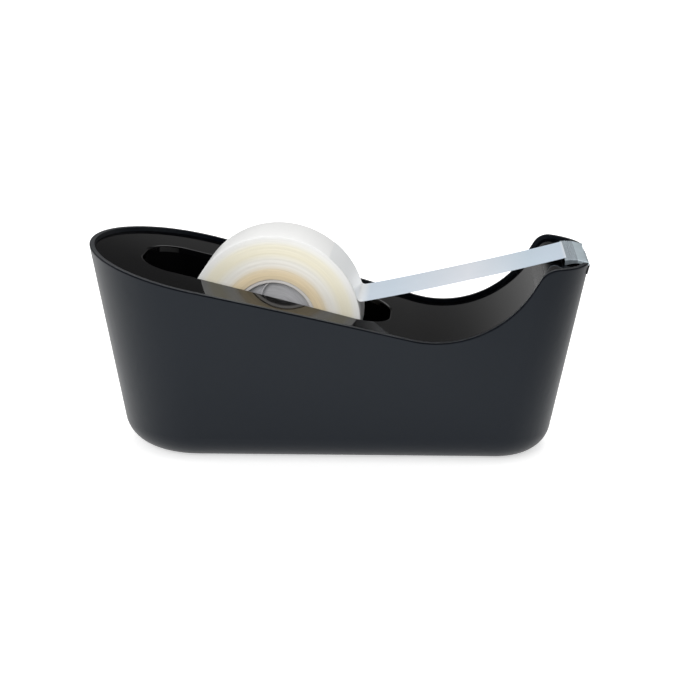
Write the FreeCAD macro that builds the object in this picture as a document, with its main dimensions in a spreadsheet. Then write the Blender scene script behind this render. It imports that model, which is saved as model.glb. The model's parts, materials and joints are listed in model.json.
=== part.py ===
import FreeCAD, Part
import Sketcher
import math
import os

# A weighted desk tape dispenser: an egg-shaped tub with a saddle-shaped deck dropped into it,
# a roll of tape on a lift-out hub in a narrow well, and a serrated cutter on the beak.
# X runs from the tall rear to the cutter, Y across and Z up, with the origin under the middle.
# Places along the body are counted from the centre of its rear end and called "reach".

# Driving dimensions in millimetres and degrees
sizes = {
    # tub: plan sizes at the foot and at the crown level, joined by straight drafted walls
    "crownTall": 62.0,
    "footRearRadius": 23.3,
    "crownRearRadius": 32.7,
    "footCornerRadius": 18.0,
    "crownCornerRadius": 15.0,
    "footCornerReach": 87.0,
    "crownCornerReach": 100.1,
    "footCornerOut": 1.0,
    "crownCornerOut": 7.5,
    "footRound": 9.1,
    "lipWall": 1.5,
    "tubWall": 3.2,
    "floorThick": 3.0,
    "rimRound": 0.4,
    # rim seen from the side: long slope, valley, climb and nearly flat beak
    "beakLong": 10.06,
    "valleyTall": 39.1,
    "valleyRadius": 31.0,
    "slopeAngle": 14.2,
    "slopeRadius": 3300.0,
    "climbAngle": 60.0,
    "shoulderRadius": 5.6,
    "beakTall": 61.0,
    "beakFall": 2.0,
    # deck
    "deckRecess": 1.1,
    "deckThick": 1.8,
    "deckGap": 0.15,
    "seatGap": 0.05,
    "slotBehind": 14.1,
    "slotAhead": 8.2,
    "slotBeside": 3.8,
    "slotCorner": 10.5,
    "slotRound": 0.5,
    # nose of the deck, which hooks over the rim in front of the cutter
    "noseInset": 0.1,
    "noseDrop": 1.6,
    "noseTall": 1.75,
    "noseThick": 0.4,
    "noseStep": 0.9,
    "noseRoot": 4.0,
    # well under the slot
    "wellWall": 1.5,
    "wellFloorThick": 1.6,
    "rollGap": 2.3,
    "saddleProud": 2.4,
    "saddleRib": 2.2,
    "saddleDrop": 3.0,
    "lugRadius": 3.0,
    "lugTall": 4.0,
    "bossTall": 4.0,
    "lugInset": 14.8,
    # roll, core, hub and axle
    "rollReach": 23.1,
    "rollTall": 40.3,
    "rollRadius": 25.8,
    "tapeWide": 19.0,
    "coreRadius": 16.0,
    "coreBore": 12.7,
    "coreInset": 0.15,
    "hubGap": 0.05,
    "hubInset": 0.5,
    "hubWall": 1.1,
    "webThick": 1.2,
    "webInset": 2.0,
    "ribThick": 1.0,
    "ribCount": 3,
    "hubBossRadius": 4.6,
    "spigotRadius": 8.0,
    "spigotWall": 1.2,
    "spigotLong": 3.0,
    "axleRadius": 2.5,
    "axleGap": 0.05,
    "axleEndGap": 0.3,
    "axleChamfer": 0.5,
    # free end of the tape
    "stripThick": 0.25,
    "stripGap": 0.3,
    "stripLift": 6.6,
    "stripSag": 0.25,
    "stripLap": 1.1,
    # cutter
    "bladeSetback": 7.74,
    "bladeLong": 5.9,
    "bladeOverhang": 2.1,
    "bladeThick": 0.5,
    "bladeTall": 1.5,
    "landingLong": 3.6,
    "bladeFall": 0.7,
    "archRadius": 3.6,
    "archRoof": 0.55,
    "toothPitch": 1.4,
    "toothLong": 0.9,
    "ridgeThick": 0.3,
    "ridgeTall": 0.15,
    "ridgePitch": 0.6,
    "ridgeCount": 4,
    "ridgeStart": 1.5,
    "cutterSeatInset": 0.9,
    # ballast and pads
    "ballastGap": 2.4,
    "slabLong": 54.0,
    "slabWide": 26.0,
    "slabChamfer": 3.0,
    "blockWide": 22.0,
    "blockChamfer": 4.5,
    "foamThick": 0.8,
    "foamEdge": 3.0,
    "footInset": 10.0,
    "footPadThick": 0.9,
    "footProud": 0.3,
    # screws
    "screwRadius": 1.4,
    "screwHead": 2.7,
    "screwHeadTall": 1.2,
    "screwGap": 0.15,
    "pilotGap": 0.03,
    "postRadius": 3.2,
    "tubScrewLong": 8.0,
    "rearPostInset": 8.8,
    "rearPostOut": 6.5,
    "frontPostAhead": 3.0,
    "frontPostOut": 4.5,
    "wellScrewLong": 7.0,
    "ballastScrewLong": 6.0,
    "slabScrewInset": 8.1,
    "blockScrewOut": 4.4,
    "pilotSpare": 0.4,
}

tiny = 1e-6  # two heights this close are the same
near = 0.01  # an edge this close lies on the slot's outline
rimTurns = 20  # rounds after which the rear end of the rim no longer moves

doc = FreeCAD.newDocument("TapeDispenser")
sheet = doc.addObject("Spreadsheet::Sheet", "Dims")
for row, (alias, value) in enumerate(sizes.items(), 1):
    sheet.set("A%d" % row, alias)
    sheet.set("B%d" % row, str(value))
    sheet.setAlias("B%d" % row, alias)
doc.recompute()


def dim(alias):
    return float(sheet.get(alias))


def vec(x, y, z):
    return FreeCAD.Vector(x, y, z)


# Plan of the tub


def level(foot, crown, z):
    # a plan size at height z, on the straight line from its foot value to its crown value
    return dim(foot) + (dim(crown) - dim(foot)) * z / dim("crownTall")


def cornerReach(z):
    return level("footCornerReach", "crownCornerReach", z)


def cornerRadius(z):
    return level("footCornerRadius", "crownCornerRadius", z)


def rearRadius(z):
    return level("footRearRadius", "crownRearRadius", z)


# Side view of the rim, in reach and height. "below" offsets the outline square to itself.


def shoulderCentre():
    fall = math.radians(dim("beakFall"))
    return noseReach() - dim("beakLong"), dim("beakTall") - dim("shoulderRadius") * math.cos(fall)


def valleyReach():
    climb = math.radians(dim("climbAngle"))
    shoulderReach, shoulderTall = shoulderCentre()
    rise = shoulderTall - dim("valleyTall") - dim("valleyRadius")
    run = (dim("valleyRadius") + dim("shoulderRadius")) / math.sin(climb) + rise / math.tan(climb)
    return shoulderReach - run


def slopeCentre():
    slope = math.radians(dim("slopeAngle"))
    reach = valleyReach() - (dim("valleyRadius") + dim("slopeRadius")) * math.sin(slope)
    tall = dim("valleyTall") + dim("valleyRadius")
    return reach, tall - (dim("valleyRadius") + dim("slopeRadius")) * math.cos(slope)


def slopeTall(reach, below=0.0):
    # height of the long slope at a place along the body
    centreReach, centreTall = slopeCentre()
    radius = dim("slopeRadius") - below
    return centreTall + math.sqrt(radius ** 2 - (reach - centreReach) ** 2)


def rearRimReach():
    # where the slope meets the leaning rear wall
    tall = dim("crownTall")
    for turn in range(rimTurns):
        tall = slopeTall(-rearRadius(tall))
    return -rearRadius(tall)


def beakTallAt(reach, below=0.0):
    centreReach, centreTall = shoulderCentre()
    fall = math.radians(dim("beakFall"))
    radius = dim("shoulderRadius") - below
    startReach = centreReach + radius * math.sin(fall)
    return centreTall + radius * math.cos(fall) - (reach - startReach) * math.tan(fall)


def noseReach():
    tall = dim("beakTall")
    return cornerReach(tall) + cornerRadius(tall) + dim("noseThick")


# middle of the whole length, where the origin stands
originReach = (rearRimReach() + noseReach()) / 2


def along(reach):
    return reach - originReach


def eggWire(z, inset):
    # closed plan outline: rear arc, two straight sides, two corner arcs and a flat front
    rear = rearRadius(z) - inset
    corner = cornerRadius(z) - inset
    reach = cornerReach(z)
    side = level("footCornerOut", "crownCornerOut", z)
    lean = math.atan2(side, reach) + math.acos((rear - corner) / math.hypot(reach, side))

    def spot(cx, cy, radius, angle, hand):
        return vec(along(cx + radius * math.cos(angle)), hand * (cy + radius * math.sin(angle)), z)

    rearTip = spot(0, 0, rear, math.pi, 1)
    rearUp, rearDown = [spot(0, 0, rear, lean, hand) for hand in (1, -1)]
    cornerUp, cornerDown = [spot(reach, side, corner, lean, hand) for hand in (1, -1)]
    midUp, midDown = [spot(reach, side, corner, lean / 2, hand) for hand in (1, -1)]
    frontUp, frontDown = [spot(reach, side, corner, 0, hand) for hand in (1, -1)]
    edges = [
        Part.Arc(rearDown, rearTip, rearUp).toShape(),
        Part.LineSegment(rearUp, cornerUp).toShape(),
        Part.Arc(cornerUp, midUp, frontUp).toShape(),
        Part.LineSegment(frontUp, frontDown).toShape(),
        Part.Arc(frontDown, midDown, cornerDown).toShape(),
        Part.LineSegment(cornerDown, rearDown).toShape(),
    ]
    return Part.Wire(edges)


def eggSolid(low, high, inset):
    return Part.makeLoft([eggWire(low, inset), eggWire(high, inset)], True, True)


def roundFoot(shape, z, radius):
    edges = [e for e in shape.Edges if abs(e.BoundBox.ZMin - z) < tiny and abs(e.BoundBox.ZMax - z) < tiny]
    return shape.makeFillet(radius, edges)


def arcOf(centreReach, centreTall, radius, angles):
    # arc through three angles, each counted from straight up, clockwise
    points = []
    for angle in angles:
        reach = centreReach + radius * math.sin(angle)
        points.append(vec(along(reach), 0, centreTall + radius * math.cos(angle)))
    return Part.Arc(*points).toShape()


def rimEdges(below):
    slope = math.radians(dim("slopeAngle"))
    climb = math.radians(dim("climbAngle"))
    fall = math.radians(dim("beakFall"))
    margin = dim("shoulderRadius") + dim("crownCornerRadius")
    slopeReach, slopeCentreTall = slopeCentre()
    slopeRadius = dim("slopeRadius") - below
    rearAngle = math.asin((rearRimReach() - margin - slopeReach) / slopeRadius)
    slopeArc = arcOf(slopeReach, slopeCentreTall, slopeRadius, (rearAngle, (rearAngle + slope) / 2, slope))
    valleyTall = dim("valleyTall") + dim("valleyRadius")
    valleyAngles = (math.pi + slope, math.pi + (slope - climb) / 2, math.pi - climb)
    valleyArc = arcOf(valleyReach(), valleyTall, dim("valleyRadius") + below, valleyAngles)
    shoulderReach, shoulderTall = shoulderCentre()
    shoulderAngles = (-climb, (fall - climb) / 2, fall)
    shoulderArc = arcOf(shoulderReach, shoulderTall, dim("shoulderRadius") - below, shoulderAngles)
    climbLine = Part.LineSegment(valleyArc.Vertexes[-1].Point, shoulderArc.Vertexes[0].Point).toShape()
    endReach = noseReach() + margin
    endPoint = vec(along(endReach), 0, beakTallAt(endReach, below))
    beakLine = Part.LineSegment(shoulderArc.Vertexes[-1].Point, endPoint).toShape()
    return [slopeArc, valleyArc, climbLine, shoulderArc, beakLine]


def underRim(below):
    # everything under the rim outline, across the whole width
    edges = rimEdges(below)
    first = edges[0].Vertexes[0].Point
    last = edges[-1].Vertexes[-1].Point
    depth = -dim("floorThick")
    firstFoot = vec(first.x, 0, depth)
    lastFoot = vec(last.x, 0, depth)
    edges.append(Part.LineSegment(last, lastFoot).toShape())
    edges.append(Part.LineSegment(lastFoot, firstFoot).toShape())
    edges.append(Part.LineSegment(firstFoot, first).toShape())
    face = Part.Face(Part.Wire(edges))
    halfWide = 2 * dim("crownRearRadius")
    face.translate(vec(0, -halfWide, 0))
    return face.extrude(vec(0, 2 * halfWide, 0))


# Places that follow from the tape and from the front of the tub


def slotStart():
    return dim("rollReach") - dim("rollRadius") - dim("slotBehind")


def slotEnd():
    return dim("rollReach") + dim("rollRadius") + dim("slotAhead")


def slotHalf():
    return dim("tapeWide") / 2 + dim("slotBeside")


def bladeWide():
    return dim("tapeWide") + 2 * dim("bladeOverhang")


def noseWide():
    return bladeWide() - 2 * dim("noseInset")


def bladeStart():
    return noseReach() - dim("bladeSetback")


def frontPostReach():
    return dim("footCornerReach") + dim("frontPostAhead")


def rearPostReach():
    return slotStart() + dim("rearPostInset")


def slabReach():
    return rearPostReach() + dim("postRadius") + dim("ballastGap")


def blockReach():
    return slotEnd() + dim("wellWall") + dim("ballastGap")


def blockEnd():
    return frontPostReach() - dim("postRadius") - dim("ballastGap")


# Small builders


def boxAt(reach, y, z, long, wide, tall):
    # box from its low reach, its middle in Y and its low height
    return Part.makeBox(long, wide, tall, vec(along(reach), y - wide / 2, z))


def rodAt(reach, y, z, radius, tall):
    return Part.makeCylinder(radius, tall, vec(along(reach), y, z))


def slotSolid(grow, low, high):
    # upright prism with the slot's rounded outline, grown all round
    long = slotEnd() - slotStart() + 2 * grow
    wide = 2 * slotHalf() + 2 * grow
    block = boxAt(slotStart() - grow, 0, low, long, wide, high - low)
    upright = [e for e in block.Edges if e.BoundBox.ZLength > high - low - tiny]
    return block.makeFillet(dim("slotCorner") + grow, upright)


def addShape(label, shape):
    feature = doc.addObject("Part::Feature", label)
    feature.Shape = shape
    feature.Label = label
    feature.Placement = FreeCAD.Placement()
    nodes.append(feature)


def addGroup(label, members):
    group = doc.addObject("Part::Compound", label)
    group.Links = members
    group.Label = label
    nodes.append(group)


def worked(alias, value):
    # a height or place worked out above, kept in the sheet for the sketches
    row = len(sizes) + len(workedOut) + 1
    workedOut.append(alias)
    sheet.set("A%d" % row, alias)
    sheet.set("B%d" % row, repr(value))
    sheet.setAlias("B%d" % row, alias)
    doc.recompute()
    return value


nodes = []
workedOut = []
deckUnder = dim("deckRecess") + dim("deckThick")
crown = dim("crownTall") + 2 * dim("tubWall")
tubLow = dim("footProud")
floorTop = tubLow + dim("floorThick")
headTop = dim("footPadThick") + dim("screwHeadTall")
wellUnder = dim("rollTall") - dim("rollRadius") - dim("rollGap") - dim("wellFloorThick")
wellFloor = wellUnder + dim("wellFloorThick")
slabTop = worked("slabTop", wellUnder - dim("foamThick") - dim("seatGap"))
blockTop = worked("blockTop", dim("valleyTall") - deckUnder - dim("foamThick") - dim("seatGap"))
ballastLow = worked("ballastLow", floorTop + dim("seatGap"))
bladeEnd = bladeStart() + dim("bladeLong")
bladeFoot = worked("bladeFoot", beakTallAt(bladeStart(), dim("deckRecess")) + dim("seatGap"))
landingTall = worked("landingTall", bladeFoot + dim("bladeTall"))
blockLong = worked("blockLong", blockEnd() - blockReach())


def frontPosts():
    return [(frontPostReach(), hand * dim("frontPostOut")) for hand in (-1, 1)]


def rearPosts():
    return [(rearPostReach(), hand * dim("rearPostOut")) for hand in (-1, 1)]


def slabSpots():
    # one screw near each end of the slab
    inset = dim("slabScrewInset")
    return [(slabReach() + inset, 0.0), (slabReach() + dim("slabLong") - inset, 0.0)]


def blockSpots():
    # two screws side by side in the middle of the block
    return [((blockReach() + blockEnd()) / 2, hand * dim("blockScrewOut")) for hand in (-1, 1)]


def lugSpots():
    # reach, side and height of the joint between each lug of the well and its boss on the deck
    side = slotHalf() + dim("wellWall") + dim("lugRadius")
    spots = []
    for reach in (slotStart() + dim("lugInset"), slotEnd() - dim("lugInset")):
        tall = slopeTall(reach, deckUnder) - dim("bossTall")
        spots += [(reach, hand * side, tall) for hand in (-1, 1)]
    return spots


def bodyShell():
    outer = roundFoot(eggSolid(tubLow, crown, 0), tubLow, dim("footRound"))
    body = outer.common(underRim(0))
    rim = [e for e in body.Edges if e.BoundBox.ZMin > dim("valleyTall") - dim("tubWall")]
    body = body.makeFillet(dim("rimRound"), rim)
    room = roundFoot(eggSolid(floorTop, crown, dim("tubWall")), floorTop, dim("footRound") - dim("tubWall"))
    # above the deck's seat the wall is thinner, which leaves a ledge under the deck's edge
    upper = eggSolid(floorTop, crown, dim("lipWall")).cut(underRim(deckUnder + dim("seatGap")))
    body = body.cut(room).cut(upper)
    # low place in the rim for the nose, and a shallow place in the foot for the pad
    notchWide = noseWide() + 2 * dim("deckGap")
    notch = boxAt(cornerReach(notchLow()), 0, notchLow(), 2 * dim("crownCornerRadius"), notchWide, crown)
    body = body.cut(notch).cut(eggSolid(0, dim("footPadThick"), dim("footInset") - dim("deckGap")))
    for reach, side in frontPosts() + rearPosts() + slabSpots() + blockSpots():
        body = body.cut(rodAt(reach, side, 0, dim("screwHead") + dim("screwGap"), headTop))
        body = body.cut(rodAt(reach, side, 0, dim("screwRadius") + dim("screwGap"), 2 * floorTop))
    return body


def noseTop():
    return beakTallAt(noseReach()) - dim("noseDrop")


def notchLow():
    return noseTop() - dim("noseStep")


def noseShape():
    # tongue from the deck's front edge through the notch, under the cutter's teeth, and a lip outside
    low = noseTop() - dim("noseTall")
    floor = notchLow() + dim("seatGap")
    start = bladeEnd - dim("noseRoot")
    long = 2 * dim("noseRoot")
    grown = eggSolid(0, crown, -dim("noseThick"))
    tongue = boxAt(start, 0, floor, long, noseWide(), noseTop() - floor).common(grown)
    skin = grown.cut(eggSolid(0, crown, -dim("seatGap")))
    lip = boxAt(start, 0, low, long, noseWide(), noseTop() - low).common(skin)
    return tongue.fuse(lip).removeSplitter()


def deckCover():
    edgeInset = dim("lipWall") + dim("deckGap")
    band = underRim(dim("deckRecess")).cut(underRim(deckUnder))
    deck = band.common(eggSolid(floorTop, crown, edgeInset))
    deck = deck.cut(slotSolid(0, wellUnder, crown))
    deck = roundSlot(deck)
    middle = underRim(dim("deckRecess") + dim("deckThick") / 2)
    # posts for the front tub screws and bosses for the well's screws hang from the underside
    for reach, side in frontPosts():
        post = rodAt(reach, side, ballastLow, dim("postRadius"), crown).common(middle)
        pilot = rodAt(reach, side, 0, dim("screwRadius") + dim("pilotGap"), headTop + dim("tubScrewLong") + dim("pilotSpare"))
        deck = deck.fuse(post).cut(pilot)
    for reach, side, tall in lugSpots():
        boss = rodAt(reach, side, tall, dim("lugRadius"), crown).common(middle)
        depth = dim("wellScrewLong") - dim("lugTall") + dim("pilotSpare")
        pilot = rodAt(reach, side, tall, dim("screwRadius") + dim("pilotGap"), depth)
        deck = deck.fuse(boss).cut(pilot)
    # block that the cutter's sides grip
    seatWide = bladeWide() - 2 * dim("bladeThick") - 2 * dim("seatGap")
    seatReach = bladeStart() + dim("cutterSeatInset")
    seatLow = notchLow() + dim("seatGap")
    seatTall = landingTall - dim("bladeThick") - dim("seatGap") - seatLow
    seatLong = dim("landingLong") - dim("cutterSeatInset")
    deck = deck.fuse(boxAt(seatReach, 0, seatLow, seatLong, seatWide, seatTall))
    return deck.fuse(noseShape()).removeSplitter()


def roundSlot(deck):
    # soften the upper edge of the slot
    outline = slotSolid(0, floorTop, crown)
    chosen = []
    for edge in deck.Edges:
        middle = edge.valueAt((edge.FirstParameter + edge.LastParameter) / 2)
        reach = middle.x + originReach
        inSlot = outline.distToShape(Part.Vertex(middle))[0] < near
        if inSlot and abs(middle.z - slopeTall(reach, dim("deckRecess"))) < near:
            chosen.append(edge)
    return deck.makeFillet(dim("slotRound"), chosen)


def saddle(hand):
    # pair of upright ribs on the well's wall with a half-round rest for the axle between them
    half = slotHalf()
    rest = dim("axleRadius") + dim("axleGap")
    top = slopeTall(dim("rollReach"), deckUnder) - dim("saddleDrop")
    long = 2 * (rest + dim("saddleRib"))
    proud = dim("saddleProud") + dim("wellWall") / 2
    side = hand * (half - dim("saddleProud") + proud / 2)
    block = boxAt(dim("rollReach") - long / 2, side, wellFloor - dim("wellFloorThick") / 2, long, proud, crown)
    block = block.cut(boxAt(dim("rollReach") - long, side, top, 2 * long, 2 * proud, crown))
    block = block.cut(boxAt(dim("rollReach") - rest, side, dim("rollTall"), 2 * rest, 2 * proud, crown))
    axis = Part.makeCylinder(rest, 4 * half, vec(along(dim("rollReach")), -2 * half, dim("rollTall")), vec(0, 1, 0))
    return block.cut(axis)


def rollWell():
    well = slotSolid(dim("wellWall"), wellUnder, crown).cut(slotSolid(0, wellFloor, crown + 1))
    well = well.common(underRim(deckUnder + dim("seatGap")))
    for hand in (-1, 1):
        well = well.fuse(saddle(hand))
    for reach, side in rearPosts():
        post = rodAt(reach, side, ballastLow, dim("postRadius"), wellUnder - ballastLow)
        pilot = rodAt(reach, side, 0, dim("screwRadius") + dim("pilotGap"), headTop + dim("tubScrewLong") + dim("pilotSpare"))
        well = well.fuse(post).cut(pilot)
    for reach, side, tall in lugSpots():
        low = tall - dim("lugTall")
        lug = rodAt(reach, side, low, dim("lugRadius"), dim("lugTall") - dim("seatGap"))
        bridgeSide = side - math.copysign(dim("lugRadius") / 2 + dim("wellWall") / 4, side)
        bridge = boxAt(reach - dim("lugRadius"), bridgeSide, low, 2 * dim("lugRadius"),
                       dim("lugRadius") + dim("wellWall") / 2, dim("lugTall") - dim("seatGap"))
        hole = rodAt(reach, side, low, dim("screwRadius") + dim("screwGap"), dim("lugTall"))
        well = well.fuse(lug).fuse(bridge).cut(hole)
    return well.removeSplitter()


def tapeStrip():
    # free tape from the roll to the cutter, with a slight sag, and a short lap that lies on the cutter
    radius = dim("rollRadius") + dim("stripGap")
    startReach = dim("rollReach") + math.sqrt(radius ** 2 - dim("stripLift") ** 2)
    start = vec(along(startReach), 0, dim("rollTall") + dim("stripLift"))
    bend = vec(along(bladeStart()), 0, landingTall + dim("seatGap"))
    end = bend + vec(dim("stripLap"), 0, 0)
    up = vec(0, 0, dim("stripThick"))
    middle = (start + bend) * 0.5 - vec(0, 0, dim("stripSag"))
    edges = [
        Part.Arc(start, middle, bend).toShape(),
        Part.LineSegment(bend, end).toShape(),
        Part.LineSegment(end, end + up).toShape(),
        Part.LineSegment(end + up, bend + up).toShape(),
        Part.Arc(bend + up, middle + up, start + up).toShape(),
        Part.LineSegment(start + up, start).toShape(),
    ]
    face = Part.Face(Part.Wire(edges))
    face.translate(vec(0, -dim("tapeWide") / 2, 0))
    return face.extrude(vec(0, dim("tapeWide"), 0))


# Builders for the pieces made from sketches


def newBody(label, place):
    body = doc.addObject("PartDesign::Body", label)
    body.Label = label
    body.Placement.Base = place
    nodes.append(body)
    return body


def newSketch(body, name, role):
    sketch = body.newObject("Sketcher::SketchObject", name)
    plane = [feature for feature in body.Origin.OriginFeatures if feature.Role == role][0]
    sketch.AttachmentSupport = [(plane, "")]
    sketch.MapMode = "FlatFace"
    return sketch


def bindPoint(sketch, geometry, point, across, up):
    # a point held from the sketch's own origin by two formulas
    for kind, formula in (("DistanceX", across), ("DistanceY", up)):
        index = sketch.addConstraint(Sketcher.Constraint(kind, -1, 1, geometry, point, 1.0))
        sketch.setExpression("Constraints[%d]" % index, formula)


def outlineSketch(body, name, role, corners):
    # closed outline of straight lines, with each corner given as two formulas
    sketch = newSketch(body, name, role)
    count = len(corners)
    spots = [vec(float(number(across)), float(number(up)), 0) for across, up in corners]
    for index in range(count):
        sketch.addGeometry(Part.LineSegment(spots[index], spots[(index + 1) % count]), False)
    for index in range(count):
        sketch.addConstraint(Sketcher.Constraint("Coincident", index, 2, (index + 1) % count, 1))
    for index, (across, up) in enumerate(corners):
        bindPoint(sketch, index, 1, across, up)
    return sketch


def number(formula):
    # present value of a formula of the sheet
    value = sheet.evalExpression(formula)
    return value.Value if hasattr(value, "Value") else value


def circleSketch(body, name, role, spots, radius):
    sketch = newSketch(body, name, role)
    for across, up in spots:
        index = sketch.addGeometry(Part.Circle(vec(across, up, 0), vec(0, 0, 1), number(radius)), False)
        bindPoint(sketch, index, 3, str(across), str(up))
        held = sketch.addConstraint(Sketcher.Constraint("Radius", index, number(radius)))
        sketch.setExpression("Constraints[%d]" % held, radius)
    return sketch


def pad(body, sketch, formula, midplane=False, reverse=False):
    feature = body.newObject("PartDesign::Pad", sketch.Name + "Pad")
    feature.Profile = sketch
    feature.setExpression("Length", formula)
    feature.SideType = "Symmetric" if midplane else "One side"
    feature.Reversed = reverse
    doc.recompute()
    return feature


def pocket(body, sketch, formula, midplane=False, reverse=False):
    before = body.Shape.Volume
    feature = body.newObject("PartDesign::Pocket", sketch.Name + "Pocket")
    feature.Profile = sketch
    feature.setExpression("Length", formula)
    feature.SideType = "Symmetric" if midplane else "One side"
    feature.Reversed = reverse
    doc.recompute()
    if body.Shape.Volume >= before:
        raise RuntimeError(sketch.Name + " cuts nothing")
    return feature


def revolve(body, sketch):
    feature = body.newObject("PartDesign::Revolution", sketch.Name + "Turn")
    feature.Profile = sketch
    feature.ReferenceAxis = (sketch, ["V_Axis"])
    feature.Angle = 360.0
    doc.recompute()
    return feature


def ring(label, place, bore, radius, halfWide):
    # plain ring about its own Y axis
    body = newBody(label, place)
    corners = [(bore, "-(%s)" % halfWide), (radius, "-(%s)" % halfWide), (radius, halfWide), (bore, halfWide)]
    revolve(body, outlineSketch(body, label + "Section", "XY_Plane", corners))
    return body


def hubHalf(label, hand):
    # drum, web and boss about the axle; the near half has the spigot and the far half the socket
    place = vec(along(dim("rollReach")), 0, dim("rollTall"))
    body = newBody(label, place)
    sign = "-" if hand < 0 else ""
    bore = "Dims.axleRadius + Dims.axleGap"
    boss = "Dims.hubBossRadius"
    drum = "Dims.coreBore - Dims.hubGap"
    drumIn = "Dims.coreBore - Dims.hubGap - Dims.hubWall"
    face = "%s(Dims.tapeWide / 2 - Dims.hubInset)" % sign
    webFace = "%s(Dims.tapeWide / 2 - Dims.hubInset - Dims.webInset)" % sign
    webBack = "%s(Dims.tapeWide / 2 - Dims.hubInset - Dims.webInset - Dims.webThick)" % sign
    middle = "%s(Dims.seatGap / 2)" % sign
    if hand < 0:
        collarIn = "Dims.spigotRadius - Dims.spigotWall"
        collarOut = "Dims.spigotRadius"
        collarEnd = "Dims.spigotLong"
    else:
        collarIn = "Dims.spigotRadius + Dims.hubGap"
        collarOut = "Dims.spigotRadius + Dims.hubGap + Dims.spigotWall"
        collarEnd = middle
    corners = [
        (bore, face), (boss, face), (boss, webFace), (drumIn, webFace), (drumIn, face), (drum, face),
        (drum, middle), (drumIn, middle), (drumIn, webBack), (collarOut, webBack), (collarOut, collarEnd),
        (collarIn, collarEnd), (collarIn, webBack), (boss, webBack), (boss, middle), (bore, middle),
    ]
    revolve(body, outlineSketch(body, label + "Section", "XY_Plane", corners))
    # spokes from the boss to the drum, low in the recess of the web
    ribCorners = [
        ("-Dims.ribThick / 2", "Dims.hubBossRadius - Dims.ribThick / 2"),
        ("Dims.ribThick / 2", "Dims.hubBossRadius - Dims.ribThick / 2"),
        ("Dims.ribThick / 2", "Dims.coreBore - Dims.hubGap - Dims.hubWall / 2"),
        ("-Dims.ribThick / 2", "Dims.coreBore - Dims.hubGap - Dims.hubWall / 2"),
    ]
    rib = outlineSketch(body, label + "Rib", "XZ_Plane", ribCorners)
    rib.setExpression("AttachmentOffset.Base.z", "%s(%s)" % ("" if hand < 0 else "-", webFace.lstrip("-")))
    doc.recompute()
    ribPad = pad(body, rib, "Dims.webInset / 2", reverse=hand > 0)
    ribs = body.newObject("PartDesign::PolarPattern", label + "Ribs")
    ribs.Originals = [ribPad]
    ribs.Axis = (rib, ["N_Axis"])
    ribs.Angle = 360.0
    ribs.setExpression("Occurrences", "Dims.ribCount")
    body.Tip = ribs
    doc.recompute()
    return body


def hubAxle():
    place = vec(along(dim("rollReach")), 0, dim("rollTall"))
    body = newBody("hub_axle", place)
    end = "Dims.tapeWide / 2 + Dims.slotBeside - Dims.axleEndGap"
    shoulder = "%s - Dims.axleChamfer" % end
    tip = "Dims.axleRadius - Dims.axleChamfer"
    corners = [
        ("0", "-(%s)" % end), (tip, "-(%s)" % end), ("Dims.axleRadius", "-(%s)" % shoulder),
        ("Dims.axleRadius", shoulder), (tip, end), ("0", end),
    ]
    revolve(body, outlineSketch(body, "AxleSection", "XY_Plane", corners))


def plateBody(label, startReach, longFormula, wideFormula, lowFormula, tallFormula):
    # flat block from its low reach, centred across the part
    body = newBody(label, vec(along(startReach), 0, 0))
    body.setExpression("Placement.Base.z", lowFormula)
    corners = [
        ("0", "-(%s) / 2" % wideFormula), (longFormula, "-(%s) / 2" % wideFormula),
        (longFormula, "(%s) / 2" % wideFormula), ("0", "(%s) / 2" % wideFormula),
    ]
    pad(body, outlineSketch(body, label + "Plan", "XY_Plane", corners), tallFormula)
    return body


def ballast(label, startReach, longAlias, wideAlias, topAlias, chamferAlias, spots):
    body = plateBody(label, startReach, "Dims." + longAlias, "Dims." + wideAlias, "Dims.ballastLow",
                     "Dims.%s - Dims.ballastLow" % topAlias)
    block = body.Tip
    edges = ["Edge%d" % (index + 1) for index, edge in enumerate(block.Shape.Edges) if edge.BoundBox.ZMax < tiny]
    chamfer = body.newObject("PartDesign::Chamfer", label + "Chamfer")
    chamfer.Base = (block, edges)
    chamfer.setExpression("Size", "Dims." + chamferAlias)
    body.Tip = chamfer
    doc.recompute()
    own = [(reach - startReach, side) for reach, side in spots]
    holes = circleSketch(body, label + "Pilots", "XY_Plane", own, "Dims.screwRadius + Dims.pilotGap")
    depth = "Dims.footPadThick + Dims.screwHeadTall + Dims.ballastScrewLong + Dims.pilotSpare - Dims.ballastLow"
    pocket(body, holes, depth, reverse=True)


def foam(label, startReach, longAlias, wideAlias, topAlias):
    start = startReach + dim("foamEdge")
    long = "(Dims.%s - 2 * Dims.foamEdge)" % longAlias
    wide = "(Dims.%s - 2 * Dims.foamEdge)" % wideAlias
    plateBody(label, start, long, wide, "Dims." + topAlias, "Dims.foamThick")


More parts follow.
